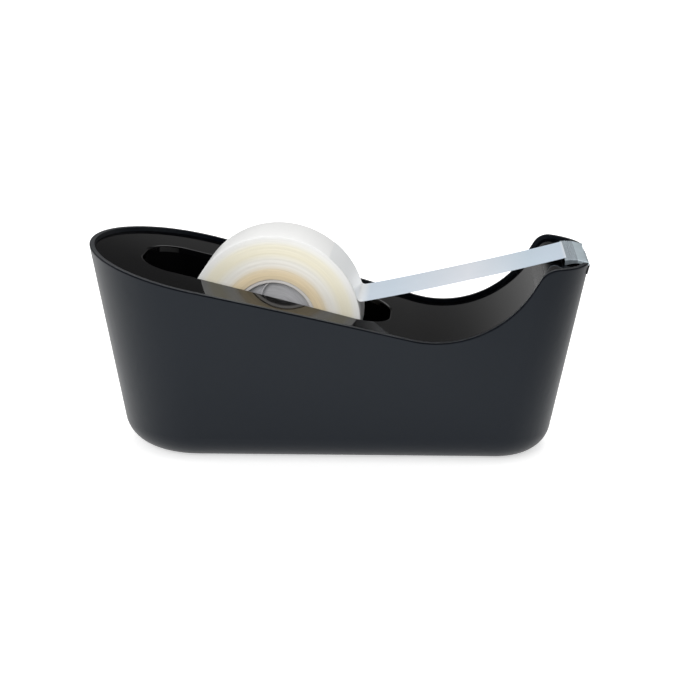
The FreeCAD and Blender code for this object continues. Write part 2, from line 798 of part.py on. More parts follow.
def cutterBlade():
    body = newBody("cutter_blade", vec(along(bladeStart()), 0, 0))
    tip = "Dims.bladeLong + Dims.toothLong"
    top = "Dims.landingTall"
    whole = "(Dims.tapeWide + 2 * Dims.bladeOverhang)"
    front = "Dims.landingTall - Dims.bladeFall"
    low = "Dims.bladeFoot"
    under = "(%s - Dims.bladeThick)"
    side = [
        ("0", low), ("Dims.bladeLong", low), ("Dims.bladeLong", under % front), (tip, under % front),
        (tip, front), ("Dims.landingLong", top), ("0", top),
    ]
    pad(body, outlineSketch(body, "BladeSide", "XZ_Plane", side), whole, midplane=True)
    room = [
        ("-Dims.bladeThick", low + " - Dims.bladeThick"), (tip, low + " - Dims.bladeThick"),
        (tip, under % front), ("Dims.landingLong", under % top), ("-Dims.bladeThick", under % top),
    ]
    wide = whole + " - 2 * Dims.bladeThick"
    pocket(body, outlineSketch(body, "BladeRoom", "XZ_Plane", room), wide, midplane=True)
    arch = [(dim("bladeLong") / 2, landingTall - dim("archRoof") - dim("archRadius"))]
    arches = circleSketch(body, "BladeArch", "XZ_Plane", arch, "Dims.archRadius")
    pocket(body, arches, "2 * " + whole, midplane=True)
    # notches between the teeth, and low ridges where the tape lands
    half = whole + " / 2 - Dims.toothPitch"
    notch = [
        ("Dims.bladeLong", half), (tip + " + Dims.seatGap", half + " + Dims.toothPitch / 2"),
        (tip + " + Dims.seatGap", half + " - Dims.toothPitch / 2"),
    ]
    notchSketch = outlineSketch(body, "ToothNotch", "XY_Plane", notch)
    first = pocket(body, notchSketch, "4 * Dims.crownTall", midplane=True)
    teeth = body.newObject("PartDesign::LinearPattern", "Teeth")
    teeth.Originals = [first]
    teeth.Direction = (notchSketch, ["V_Axis"])
    teeth.Reversed = True
    count = "floor(%s / Dims.toothPitch)" % whole
    teeth.setExpression("Occurrences", count + " - 1")
    teeth.setExpression("Length", "Dims.toothPitch * (%s - 2)" % count)
    body.Tip = teeth
    doc.recompute()
    ridge = [
        ("Dims.ridgeStart", top + " - Dims.ridgeTall"), ("Dims.ridgeStart + Dims.ridgeThick", top + " - Dims.ridgeTall"),
        ("Dims.ridgeStart + Dims.ridgeThick", top + " + Dims.ridgeTall"), ("Dims.ridgeStart", top + " + Dims.ridgeTall"),
    ]
    ridgeSketch = outlineSketch(body, "Ridge", "XZ_Plane", ridge)
    firstRidge = pad(body, ridgeSketch, whole + " - 4 * Dims.bladeThick", midplane=True)
    ridges = body.newObject("PartDesign::LinearPattern", "Ridges")
    ridges.Originals = [firstRidge]
    ridges.Direction = (ridgeSketch, ["H_Axis"])
    ridges.setExpression("Occurrences", "Dims.ridgeCount")
    ridges.setExpression("Length", "Dims.ridgePitch * (Dims.ridgeCount - 1)")
    body.Tip = ridges
    doc.recompute()


def screw(name, reach, side, low, longAlias):
    # pan head screw that points up
    head = doc.addObject("Part::Cylinder", name + "Head")
    head.setExpression("Radius", "Dims.screwHead")
    head.setExpression("Height", "Dims.screwHeadTall")
    shank = doc.addObject("Part::Cylinder", name + "Shank")
    shank.setExpression("Radius", "Dims.screwRadius")
    shank.setExpression("Height", "Dims.screwHeadTall + Dims." + longAlias)
    whole = doc.addObject("Part::Fuse", name)
    whole.Base = head
    whole.Tool = shank
    whole.Placement.Base = vec(along(reach), side, low)
    return whole


def screwSet(label, spots, longAlias):
    # spots give reach, side and the height under each head
    members = [screw("%s_%d" % (label, index), *spot, longAlias) for index, spot in enumerate(spots, 1)]
    addGroup(label, members)


rollPlace = vec(along(dim("rollReach")), 0, dim("rollTall"))
addShape("body_shell", bodyShell())
addShape("deck_cover", deckCover())
addShape("roll_well", rollWell())
addShape("foot_pad", eggSolid(0, dim("footPadThick"), dim("footInset")))
addShape("tape_strip", tapeStrip())
ballast("ballast_slab", slabReach(), "slabLong", "slabWide", "slabTop", "slabChamfer", slabSpots())
ballast("ballast_block", blockReach(), "blockLong", "blockWide", "blockTop", "blockChamfer", blockSpots())
foam("slab_pad", slabReach(), "slabLong", "slabWide", "slabTop")
foam("block_pad", blockReach(), "blockLong", "blockWide", "blockTop")
hubAxle()
hubHalf("hub_near", -1)
hubHalf("hub_far", 1)
ring("tape_core", rollPlace, "Dims.coreBore", "Dims.coreRadius", "Dims.tapeWide / 2 - Dims.coreInset")
ring("tape_roll", rollPlace, "Dims.coreRadius", "Dims.rollRadius", "Dims.tapeWide / 2")
cutterBlade()
headLow = dim("footPadThick")
screwSet("tub_screws", [spot + (headLow,) for spot in frontPosts() + rearPosts()], "tubScrewLong")
screwSet("ballast_screws", [spot + (headLow,) for spot in slabSpots() + blockSpots()], "ballastScrewLong")
lugHeads = [(reach, side, tall - dim("lugTall") - dim("screwHeadTall")) for reach, side, tall in lugSpots()]
screwSet("well_screws", lugHeads, "wellScrewLong")
doc.recompute()

for thing in doc.Objects:
    if "Invalid" in thing.State or "Error" in thing.State:
        raise RuntimeError(thing.Label + " failed")
for node in nodes:
    if node.Shape.isNull() or not node.Shape.isValid():
        raise RuntimeError(node.Label + " has no valid shape")

os.makedirs("parts", exist_ok=True)
for node in nodes:
    node.Shape.exportStep("parts/%s.step" % node.Label)
    print(node.Label, len(node.Shape.Solids), round(node.Shape.Volume, 1))
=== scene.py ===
import bpy
import json
import math
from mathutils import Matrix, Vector, noise


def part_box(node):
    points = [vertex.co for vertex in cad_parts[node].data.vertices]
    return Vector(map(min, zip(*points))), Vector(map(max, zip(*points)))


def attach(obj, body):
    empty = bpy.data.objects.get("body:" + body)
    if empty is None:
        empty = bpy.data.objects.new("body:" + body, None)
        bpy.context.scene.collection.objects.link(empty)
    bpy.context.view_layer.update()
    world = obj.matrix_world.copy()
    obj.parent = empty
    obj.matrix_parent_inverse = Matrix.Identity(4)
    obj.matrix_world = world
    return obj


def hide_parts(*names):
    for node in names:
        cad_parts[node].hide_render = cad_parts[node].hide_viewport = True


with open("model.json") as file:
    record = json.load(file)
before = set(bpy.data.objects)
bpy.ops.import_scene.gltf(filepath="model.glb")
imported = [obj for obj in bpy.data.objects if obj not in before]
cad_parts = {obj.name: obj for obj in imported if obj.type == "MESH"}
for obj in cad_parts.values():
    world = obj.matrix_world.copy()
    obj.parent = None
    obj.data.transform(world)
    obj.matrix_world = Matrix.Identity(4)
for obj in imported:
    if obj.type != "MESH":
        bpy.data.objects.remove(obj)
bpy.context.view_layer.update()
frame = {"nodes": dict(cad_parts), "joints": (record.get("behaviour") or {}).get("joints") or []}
nodes = frame["nodes"]
joints = {joint["name"]: joint for joint in frame["joints"]}
mm = 0.001
rollCentre = Vector(joints["roll_spin"]["pos_m"])
print("frame loaded:", len(nodes), "nodes")


# small mesh tools

def newPiece(name, verts, faces, body, stands, smoothAngle=35):
    mesh = bpy.data.meshes.new(name)
    mesh.from_pydata(verts, [], faces)
    mesh.validate()
    piece = bpy.data.objects.new(name, mesh)
    bpy.context.scene.collection.objects.link(piece)
    bpy.context.view_layer.objects.active = piece
    piece.select_set(True)
    bpy.ops.object.mode_set(mode="EDIT")
    bpy.ops.mesh.select_all(action="SELECT")
    bpy.ops.mesh.normals_make_consistent(inside=False)
    bpy.ops.object.mode_set(mode="OBJECT")
    bpy.ops.object.shade_smooth_by_angle(angle=math.radians(smoothAngle))
    piece.select_set(False)
    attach(piece, body)
    if stands:
        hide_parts(*stands)
    return piece


def dress(piece, material):
    piece.data.materials.clear()
    piece.data.materials.append(material)


# shader tools

def node(tree, kind, **values):
    made = tree.nodes.new(kind)
    for key, value in values.items():
        if hasattr(made, key):
            setattr(made, key, value)
        else:
            made.inputs[key.replace("_", " ")].default_value = value
    return made


def newMaterial(name, **sockets):
    material = bpy.data.materials.new(name)
    material.use_nodes = True
    tree = material.node_tree
    shader = tree.nodes["Principled BSDF"]
    for key, value in sockets.items():
        shader.inputs[key.replace("_", " ")].default_value = value
    return material, tree, shader


def newGroup(name, inputs, outputs):
    tree = bpy.data.node_groups.new(name, "ShaderNodeTree")
    for label, kind, value in inputs:
        socket = tree.interface.new_socket(label, in_out="INPUT", socket_type=kind)
        if value is not None:
            socket.default_value = value
    for label, kind in outputs:
        tree.interface.new_socket(label, in_out="OUTPUT", socket_type=kind)
    return tree, tree.nodes.new("NodeGroupInput"), tree.nodes.new("NodeGroupOutput")


def place(tree, group, **values):
    made = tree.nodes.new("ShaderNodeGroup")
    made.node_tree = group
    for key, value in values.items():
        made.inputs[key.replace("_", " ")].default_value = value
    return made


def bumpFrom(tree, height, shader, strength, distance):
    bump = node(tree, "ShaderNodeBump", Strength=strength, Distance=distance)
    tree.links.new(height, bump.inputs["Height"])
    tree.links.new(bump.outputs["Normal"], shader.inputs["Normal"])
    return bump


def mouldGrainGroup():
    # fine orange-peel of a moulded face, with a slow mottle over it
    scalar = "NodeSocketFloat"
    tree, ins, outs = newGroup(
        "mouldGrain",
        [("Grain Scale", scalar, 2500.0), ("Mottle Scale", scalar, 40.0), ("Color", "NodeSocketColor", None),
         ("Shift", scalar, 0.15), ("Roughness", scalar, 0.4), ("Spread", scalar, 0.08)],
        [("Height", scalar), ("Color", "NodeSocketColor"), ("Roughness", scalar)])
    coord = node(tree, "ShaderNodeTexCoord")
    grain = node(tree, "ShaderNodeTexNoise", Detail=3.0)
    mottle = node(tree, "ShaderNodeTexNoise", Detail=5.0)
    tree.links.new(coord.outputs["Object"], grain.inputs["Vector"])
    tree.links.new(coord.outputs["Object"], mottle.inputs["Vector"])
    tree.links.new(ins.outputs["Grain Scale"], grain.inputs["Scale"])
    tree.links.new(ins.outputs["Mottle Scale"], mottle.inputs["Scale"])
    tree.links.new(grain.outputs["Fac"], outs.inputs["Height"])
    centred = node(tree, "ShaderNodeMath", operation="SUBTRACT")
    centred.inputs[1].default_value = 0.5
    tree.links.new(mottle.outputs["Fac"], centred.inputs[0])
    rough = node(tree, "ShaderNodeMath", operation="MULTIPLY_ADD")
    tree.links.new(centred.outputs[0], rough.inputs[0])
    tree.links.new(ins.outputs["Spread"], rough.inputs[1])
    tree.links.new(ins.outputs["Roughness"], rough.inputs[2])
    tree.links.new(rough.outputs[0], outs.inputs["Roughness"])
    lift = node(tree, "ShaderNodeMath", operation="MULTIPLY_ADD")
    tree.links.new(centred.outputs[0], lift.inputs[0])
    tree.links.new(ins.outputs["Shift"], lift.inputs[1])
    lift.inputs[2].default_value = 1.0
    scaled = node(tree, "ShaderNodeVectorMath", operation="SCALE")
    tree.links.new(ins.outputs["Color"], scaled.inputs[0])
    tree.links.new(lift.outputs[0], scaled.inputs["Scale"])
    tree.links.new(scaled.outputs[0], outs.inputs["Color"])
    return tree


mouldGrain = mouldGrainGroup()


def mouldedPlastic(name, color, roughness, grainScale, bump, mottleScale=40.0, spread=0.08, shift=0.3,
                   **sockets):
    material, tree, shader = newMaterial(name, **sockets)
    grain = place(tree, mouldGrain, Grain_Scale=grainScale, Mottle_Scale=mottleScale, Color=(*color, 1),
                  Shift=shift, Roughness=roughness, Spread=spread)
    tree.links.new(grain.outputs["Color"], shader.inputs["Base Color"])
    tree.links.new(grain.outputs["Roughness"], shader.inputs["Roughness"])
    bumpFrom(tree, grain.outputs["Height"], shader, 1.0, bump)
    return material


def radialGroup():
    # distance from the roll's axis in millimetres, and the angle of a sample around that axis
    scalar = "NodeSocketFloat"
    tree, ins, outs = newGroup(
        "radial",
        [("Centre X", scalar, 0.0), ("Centre Z", scalar, 0.0)],
        [("Radius", scalar), ("Around", scalar)])
    coord = node(tree, "ShaderNodeTexCoord")
    split = node(tree, "ShaderNodeSeparateXYZ")
    tree.links.new(coord.outputs["Object"], split.inputs[0])
    across = node(tree, "ShaderNodeMath", operation="SUBTRACT")
    tree.links.new(split.outputs["X"], across.inputs[0])
    tree.links.new(ins.outputs["Centre X"], across.inputs[1])
    up = node(tree, "ShaderNodeMath", operation="SUBTRACT")
    tree.links.new(split.outputs["Z"], up.inputs[0])
    tree.links.new(ins.outputs["Centre Z"], up.inputs[1])
    flat = node(tree, "ShaderNodeCombineXYZ")
    tree.links.new(across.outputs[0], flat.inputs["X"])
    tree.links.new(up.outputs[0], flat.inputs["Y"])
    length = node(tree, "ShaderNodeVectorMath", operation="LENGTH")
    tree.links.new(flat.outputs[0], length.inputs[0])
    inMillimetres = node(tree, "ShaderNodeMath", operation="DIVIDE")
    inMillimetres.inputs[1].default_value = mm
    tree.links.new(length.outputs["Value"], inMillimetres.inputs[0])
    tree.links.new(inMillimetres.outputs[0], outs.inputs["Radius"])
    turn = node(tree, "ShaderNodeMath", operation="ARCTAN2")
    tree.links.new(up.outputs[0], turn.inputs[0])
    tree.links.new(across.outputs[0], turn.inputs[1])
    tree.links.new(turn.outputs[0], outs.inputs["Around"])
    return tree


def ringStreakGroup():
    # rings of slightly different tone about the axis, as a wound or turned face shows
    scalar = "NodeSocketFloat"
    tree, ins, outs = newGroup(
        "ringStreaks",
        [("Radius", scalar, 0.0), ("Around", scalar, 0.0), ("Pitch", scalar, 0.3), ("Length", scalar, 3.0),
         ("Color", "NodeSocketColor", None), ("Shift", scalar, 0.1)],
        [("Height", scalar), ("Color", "NodeSocketColor")])
    across = node(tree, "ShaderNodeMath", operation="DIVIDE")
    tree.links.new(ins.outputs["Radius"], across.inputs[0])
    tree.links.new(ins.outputs["Pitch"], across.inputs[1])
    around = node(tree, "ShaderNodeMath", operation="DIVIDE")
    tree.links.new(ins.outputs["Around"], around.inputs[0])
    tree.links.new(ins.outputs["Length"], around.inputs[1])
    joined = node(tree, "ShaderNodeCombineXYZ")
    tree.links.new(across.outputs[0], joined.inputs["X"])
    tree.links.new(around.outputs[0], joined.inputs["Y"])
    streak = node(tree, "ShaderNodeTexNoise", Scale=1.0, Detail=3.0)
    tree.links.new(joined.outputs[0], streak.inputs["Vector"])
    tree.links.new(streak.outputs["Fac"], outs.inputs["Height"])
    lift = node(tree, "ShaderNodeMapRange")
    lift.inputs["From Min"].default_value = 0.25
    lift.inputs["From Max"].default_value = 0.75
    tree.links.new(streak.outputs["Fac"], lift.inputs["Value"])
    low = node(tree, "ShaderNodeMath", operation="SUBTRACT")
    low.inputs[0].default_value = 1.0
    tree.links.new(ins.outputs["Shift"], low.inputs[1])
    tree.links.new(low.outputs[0], lift.inputs["To Min"])
    lift.inputs["To Max"].default_value = 1.0
    scaled = node(tree, "ShaderNodeVectorMath", operation="SCALE")
    tree.links.new(ins.outputs["Color"], scaled.inputs[0])
    tree.links.new(lift.outputs[0], scaled.inputs["Scale"])
    tree.links.new(scaled.outputs[0], outs.inputs["Color"])
    return tree


def brushedGroup():
    # fine lines along one direction with small smudges, for rolled sheet and turned steel
    scalar = "NodeSocketFloat"
    tree, ins, outs = newGroup(
        "brushed",
        [("Stretch", "NodeSocketVector", None), ("Color", "NodeSocketColor", None), ("Shift", scalar, 0.2),
         ("Roughness", scalar, 0.3), ("Spread", scalar, 0.2)],
        [("Height", scalar), ("Color", "NodeSocketColor"), ("Roughness", scalar)])
    coord = node(tree, "ShaderNodeTexCoord")
    drawn = node(tree, "ShaderNodeVectorMath", operation="MULTIPLY")
    tree.links.new(coord.outputs["Object"], drawn.inputs[0])
    tree.links.new(ins.outputs["Stretch"], drawn.inputs[1])
    lines = node(tree, "ShaderNodeTexNoise", Scale=1.0, Detail=4.0)
    tree.links.new(drawn.outputs[0], lines.inputs["Vector"])
    tree.links.new(lines.outputs["Fac"], outs.inputs["Height"])
    centred = node(tree, "ShaderNodeMath", operation="SUBTRACT")
    centred.inputs[1].default_value = 0.5
    tree.links.new(lines.outputs["Fac"], centred.inputs[0])
    rough = node(tree, "ShaderNodeMath", operation="MULTIPLY_ADD")
    tree.links.new(centred.outputs[0], rough.inputs[0])
    tree.links.new(ins.outputs["Spread"], rough.inputs[1])
    tree.links.new(ins.outputs["Roughness"], rough.inputs[2])
    tree.links.new(rough.outputs[0], outs.inputs["Roughness"])
    lift = node(tree, "ShaderNodeMath", operation="MULTIPLY_ADD")
    tree.links.new(centred.outputs[0], lift.inputs[0])
    tree.links.new(ins.outputs["Shift"], lift.inputs[1])
    lift.inputs[2].default_value = 1.0
    scaled = node(tree, "ShaderNodeVectorMath", operation="SCALE")
    tree.links.new(ins.outputs["Color"], scaled.inputs[0])
    tree.links.new(lift.outputs[0], scaled.inputs["Scale"])
    tree.links.new(scaled.outputs[0], outs.inputs["Color"])
    return tree


radial = radialGroup()
ringStreaks = ringStreakGroup()
brushed = brushedGroup()


def bandRamp(tree, value, low, high, stops):
    # colour along one measure: each stop gives a value of it and a colour
    span = node(tree, "ShaderNodeMapRange")
    span.inputs["From Min"].default_value = low
    span.inputs["From Max"].default_value = high
    tree.links.new(value, span.inputs["Value"])
    ramp = node(tree, "ShaderNodeValToRGB")
    elements = ramp.color_ramp.elements
    while len(elements) < len(stops):
        elements.new(0.5)
    for element, (reading, color) in zip(elements, stops):
        element.position = (reading - low) / (high - low)
        element.color = (*color, 1)
    tree.links.new(span.outputs[0], ramp.inputs["Fac"])
    return ramp.outputs["Color"]


def ringMaterial(name, low, high, stops, pitch, shift, bump, **sockets):
    material, tree, shader = newMaterial(name, **sockets)
    polar = place(tree, radial, Centre_X=rollCentre.x, Centre_Z=rollCentre.z)
    bands = bandRamp(tree, polar.outputs["Radius"], low, high, stops)
    streaks = place(tree, ringStreaks, Pitch=pitch, Length=0.6, Shift=shift)
    tree.links.new(polar.outputs["Radius"], streaks.inputs["Radius"])
    tree.links.new(polar.outputs["Around"], streaks.inputs["Around"])
    tree.links.new(bands, streaks.inputs["Color"])
    tree.links.new(streaks.outputs["Color"], shader.inputs["Base Color"])
    bumpFrom(tree, streaks.outputs["Height"], shader, 1.0, bump)
    return material


def metal(name, color, roughness, stretch, metallic=1.0, shift=0.25, spread=0.2, bump=0.000003):
    material, tree, shader = newMaterial(name, Metallic=metallic)
    lines = place(tree, brushed, Stretch=stretch, Color=(*color, 1), Shift=shift, Roughness=roughness,
                  Spread=spread)
    tree.links.new(lines.outputs["Color"], shader.inputs["Base Color"])
    tree.links.new(lines.outputs["Roughness"], shader.inputs["Roughness"])
    bumpFrom(tree, lines.outputs["Height"], shader, 1.0, bump)
    return material


def tapeFilm(name, fromX, toX):
    # hazy film, paler where it still lies on the roll and a little clearer over the middle of the free run
    material, tree, shader = newMaterial(name, IOR=1.45)
    coord = node(tree, "ShaderNodeTexCoord")
    split = node(tree, "ShaderNodeSeparateXYZ")
    tree.links.new(coord.outputs["Object"], split.inputs[0])
    shades = bandRamp(tree, split.outputs["X"], fromX, toX, [
        (fromX, (0.78, 0.79, 0.79)), (fromX + 0.003, (0.54, 0.61, 0.69)), (fromX + 0.010, (0.54, 0.62, 0.70)),
        (fromX + 0.032, (0.67, 0.70, 0.75)), (fromX + 0.050, (0.51, 0.60, 0.68)),
        # over the last 0.6 mm the film rises to a paler tone at the cut end: a painted highlight on the cut
        # edge
        (toX - 0.0006, (0.52, 0.60, 0.69)),
        (toX, (0.66, 0.70, 0.75))])
    grain = place(tree, mouldGrain, Grain_Scale=260, Mottle_Scale=60, Shift=0.1, Roughness=0.3, Spread=0.1)
    tree.links.new(shades, grain.inputs["Color"])
    tree.links.new(grain.outputs["Color"], shader.inputs["Base Color"])
    tree.links.new(grain.outputs["Roughness"], shader.inputs["Roughness"])
    bumpFrom(tree, grain.outputs["Height"], shader, 1.0, 0.000003)
    return material


shellPlastic = mouldedPlastic("shellPlastic", (0.0010, 0.0018, 0.0045), 0.40, 1800, 0.000012, IOR=1.385,
                              Specular_Tint=(0.82, 0.91, 1.0, 1))
deckPlastic = mouldedPlastic("deckPlastic", (0.0015, 0.0015, 0.0018), 0.06, 600, 0.0000004, 60.0, 0.06,
                             IOR=1.33)
wellPlastic = mouldedPlastic("wellPlastic", (0.0006, 0.0006, 0.0008), 0.60, 1500, 0.00001, IOR=1.45,
                             Specular_IOR_Level=0.06)
footRubber = mouldedPlastic("footRubber", (0.02, 0.02, 0.02), 0.75, 1200, 0.00005, IOR=1.45)
foam = mouldedPlastic("foam", (0.05, 0.05, 0.05), 0.9, 900, 0.0001, IOR=1.4)
stripFilm = tapeFilm("stripFilm", 0.007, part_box("cutter_blade")[0][0] + 0.0003)
hubClear = ringMaterial(
    "hubClear", 0.0, 12.7,
    [(0.0, (0.58, 0.58, 0.60)), (10.6, (0.64, 0.64, 0.66)), (11.4, (0.70, 0.69, 0.69)),
     # the pale band from 11.6 mm out, over the drum's rim, is a painted highlight along the hub's lip
     (11.6, (0.88, 0.85, 0.82))],
    0.35, 0.25, 0.00002, Roughness=0.16, IOR=1.46)
coreCard = ringMaterial(
    "coreCard", 12.7, 16.0,
    [(12.7, (0.90, 0.77, 0.56)), (13.4, (0.89, 0.74, 0.50)), (14.8, (0.92, 0.77, 0.52)),
     (16.0, (0.91, 0.80, 0.60))],
    0.4, 0.16, 0.00002, Roughness=0.5, IOR=1.45)
tapeWound = ringMaterial(
    "tapeWound", 16.0, 25.8,
    [(16.0, (0.88, 0.80, 0.65)), (17.2, (0.91, 0.88, 0.81)), (18.6, (0.93, 0.91, 0.84)),
     (20.8, (0.93, 0.88, 0.70)), (23.0, (0.93, 0.89, 0.73)), (24.3, (0.93, 0.92, 0.87)),
     # the greyer, darker tone at the outer edge and over the whole tread is painted shade: it stands in for
     # the dim surroundings that the glossy outer wrap reflects
     (25.6, (0.90, 0.90, 0.89)), (25.78, (0.85, 0.85, 0.84))],
    0.22, 0.05, 0.00002, Roughness=0.35, IOR=1.38)
cutterSteel = metal("cutterSteel", (0.56, 0.65, 0.70), 0.38, (400, 2600, 400), 0.55, 0.5)
landingSteel = metal("landingSteel", (0.30, 0.345, 0.38), 0.50, (1500, 2200, 1500), 0.55, 1.3, 0.2, 0.00002)
screwSteel = metal("screwSteel", (0.56, 0.56, 0.57), 0.30, (900, 900, 200))
axleSteel = metal("axleSteel", (0.60, 0.60, 0.61), 0.22, (2500, 120, 2500))
ballastIron = metal("ballastIron", (0.070, 0.070, 0.072), 0.62, (500, 500, 500), 0.6, 0.5, 0.3, 0.00008)

finishes = {
    "body_shell": shellPlastic, "deck_cover": deckPlastic, "roll_well": wellPlastic, "foot_pad": footRubber,
    "ballast_slab": ballastIron, "ballast_block": ballastIron, "slab_pad": foam, "block_pad": foam,
    "cutter_blade": cutterSteel, "tub_screws": screwSteel, "ballast_screws": screwSteel,
    "well_screws": screwSteel, "hub_axle": axleSteel, "tape_strip": stripFilm, "hub_near": hubClear,
    "hub_far": hubClear, "tape_core": coreCard, "tape_roll": tapeWound,
}
for name, material in finishes.items():
    dress(nodes[name], material)
print("finishes ready")


# tub, drawn with the solid's own form and evened corner normals

def makeTub():
    mesh = nodes["body_shell"].data.copy()
    mesh.name = "tubShell"
    normals = [corner.vector.copy() for corner in mesh.corner_normals]
    stray = 0.6  # a corner that leans further than this from its face is a stray
    for polygon in mesh.polygons:
        loops = polygon.loop_indices
        sound = [normals[index] for index in loops if normals[index].dot(polygon.normal) > stray]
        for index in loops:
            if normals[index].dot(polygon.normal) <= stray:
                normals[index] = sum(sound, Vector()).normalized() if sound else polygon.normal.copy()
    mesh.normals_split_custom_set(normals)
    piece = bpy.data.objects.new("tubShell", mesh)
    bpy.context.scene.collection.objects.link(piece)
    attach(piece, "dispenser")
    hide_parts("body_shell")
    dress(piece, shellPlastic)


makeTub()
print("tub ready")


# roll of tape, its core and the hub

def spin(profile, steps, drift=None):
    # closed profile of (radius, side) points in millimetres, turned about the roll's axis
    verts = []
    faces = []
    count = len(profile)
    for step in range(steps):
        angle = 2 * math.pi * step / steps
        after = (step + 1) % steps
        for index, (radius, side) in enumerate(profile):
            if drift:
                side = side * (1 - drift(radius, angle))
            verts.append(rollCentre + mm * Vector((radius * math.cos(angle), side, radius * math.sin(angle))))
            following = (index + 1) % count
            faces.append((step * count + index, after * count + index, after * count + following,
                          step * count + following))
    return verts, faces


def corner(centreRadius, centreSide, size, fromAngle, toAngle, steps=4):
    # points of a rounded edge, angles in degrees from outward
    points = []
    for step in range(steps + 1):
        angle = math.radians(fromAngle + (toAngle - fromAngle) * step / steps)
        points.append((centreRadius + size * math.cos(angle), centreSide + size * math.sin(angle)))
    return points


rollLook = {
    "inside": 16.0, "outside": 25.79, "half": 9.5, "edge": 0.45, "rings": 46, "steps": 240,
    "ripple": 0.012, "rippleScale": 1.7, "waver": 0.8, "fadeIn": 1.5, "fadeOut": 0.6,
}


def makeRoll():
    look = rollLook
    inside = look["inside"]
    rim = look["outside"] - look["edge"]
    side = look["half"] - look["edge"]
    face = [(inside + (rim - inside) * step / look["rings"], look["half"]) for step in range(look["rings"])]
    far = face + corner(rim, side, look["edge"], 90, 0)
    near = [(radius, -y) for radius, y in reversed(far)]

    def ripple(radius, angle):
        # layers lie a little in and out of line, which fades out at the core
        waver = look["waver"]
        spot = (radius * look["rippleScale"], waver * math.cos(angle), waver * math.sin(angle))
        fade = min(1.0, (radius - inside) / look["fadeIn"], (look["outside"] - radius) / look["fadeOut"])
        return look["ripple"] * max(0.0, fade) * (0.5 + 0.5 * noise.noise(spot))

    verts, faces = spin(far + near, look["steps"], ripple)
    piece = newPiece("tapeRoll", verts, faces, "roll", ["tape_roll"])
    dress(piece, tapeWound)


coreLook = {"bore": 12.72, "radius": 16.0, "half": 9.46, "edge": 0.08, "steps": 160}


def makeCore():
    look = coreLook
    edge = look["edge"]
    far = corner(look["bore"] + edge, look["half"] - edge, edge, 180, 90)
    far += corner(look["radius"] - edge, look["half"] - edge, edge, 90, 0)
    near = [(radius, -y) for radius, y in reversed(far)]
    verts, faces = spin(far + near, look["steps"])
    piece = newPiece("tapeCore", verts, faces, "roll", ["tape_core"])
    dress(piece, coreCard)


hubLook = {
    "bore": 2.56, "boss": 4.6, "drumIn": 11.55, "drum": 12.64, "face": 9.0, "web": 7.0, "webThick": 1.2,
    "middle": 0.03, "round": 0.30, "fillet": 0.6, "steps": 144,
    "collar": {-1: (6.8, 8.0, -3.0), 1: (8.06, 9.25, 0.03)},
    "spokes": 3, "spokeOuter": 97, "spokeSweep": 24, "spokeBow": 9, "spokeWide": 0.9, "spokeTall": 1.5,
    "spokeSteps": 14,
}


def spokeMesh(hand, turn, verts, faces):
    # curved wall on the web, with a rounded top, from the boss to the drum
    look = hubLook
    first = len(verts)
    rows = look["spokeSteps"]
    half = look["spokeWide"] / 2
    foot = look["web"] + 0.01
    crest = foot + look["spokeTall"]
    section = [(-half, foot), (-half, crest - half)]
    for degrees in (45, 90, 135):
        angle = math.radians(degrees)
        section.append((half * -math.cos(angle), crest - half + half * math.sin(angle)))
    section += [(half, crest - half), (half, foot)]
    inner = look["boss"] + 0.02
    outer = look["drumIn"] - 0.02
    for row in range(rows + 1):
        share = row / rows
        radius = inner + (outer - inner) * share
        angle = math.radians(turn + look["spokeOuter"] + look["spokeSweep"] * (1 - share)
                             + look["spokeBow"] * math.sin(math.pi * share))
        along = Vector((math.cos(angle), 0, math.sin(angle)))
        across = Vector((-math.sin(angle), 0, math.cos(angle)))
        for offset, side in section:
            verts.append(rollCentre + mm * (along * radius + across * offset + Vector((0, hand * side, 0))))
    count = len(section)
    for row in range(rows):
        for index in range(count):
            following = (index + 1) % count
            a = first + row * count
            faces.append((a + index, a + following, a + count + following, a + count + index))
    faces.append(tuple(first + index for index in range(count)))
    faces.append(tuple(first + rows * count + index for index in reversed(range(count))))


def makeHub(name, hand, stands):
    look = hubLook
    back = look["web"] - look["webThick"]
    size = look["round"]
    fillet = look["fillet"]
    collarIn, collarOut, collarEnd = look["collar"][hand]
    collarEnd = hand * collarEnd
    outline = [(look["bore"], look["face"] - size)]
    outline += corner(look["boss"] - size, look["face"] - size, size, 90, 0)
    outline += [(look["boss"], look["web"] + fillet)]
    outline += [(look["boss"] + fillet, look["web"])]
    outline += corner(look["drumIn"] - fillet, look["web"] + fillet, fillet, 270, 360)
    outline += corner(look["drumIn"] + size, look["face"] - size, size, 180, 90)
    outline += corner(look["drum"] - size, look["face"] - size, size, 90, 0)
    outline += [
        (look["drum"], look["middle"]), (look["drumIn"], look["middle"]), (look["drumIn"], back),
        (collarOut, back), (collarOut, collarEnd), (collarIn, collarEnd), (collarIn, back),
        (look["boss"], back), (look["boss"], look["middle"]), (look["bore"], look["middle"]),
    ]
    verts, faces = spin([(radius, hand * y) for radius, y in outline], look["steps"])
    for spoke in range(look["spokes"]):
        spokeMesh(hand, 360 / look["spokes"] * spoke, verts, faces)
    piece = newPiece(name, verts, faces, "roll", [stands])
    dress(piece, hubClear)


makeRoll()
makeCore()
makeHub("hubNear", -1, "hub_near")
makeHub("hubFar", 1, "hub_far")
print("roll ready")


# free end of the tape

stripLook = {
    "thick": 0.12, "solidThick": 0.25, "curl": 0.22, "cling": 0.03, "clingFrom": 50.0, "clingRows": 12,
    "bend": 1.3, "bendRows": 9, "runRows": 60, "sag": 0.25, "columns": 20, "wave": 0.10, "waveScale": 60.0,
    "lapRise": 0.02, "lap": 0.25, "lapFrom": 0.2, "lapRows": 4, "tipThin": 0.1, "tipLength": 1.5,
}


def tangentRun(pivot, small, target):
    # heading of the straight run that leaves a small circle below its centre and ends at target
    reach = target - pivot
    return math.atan2(reach.z, reach.x) + math.asin(small / reach.length)


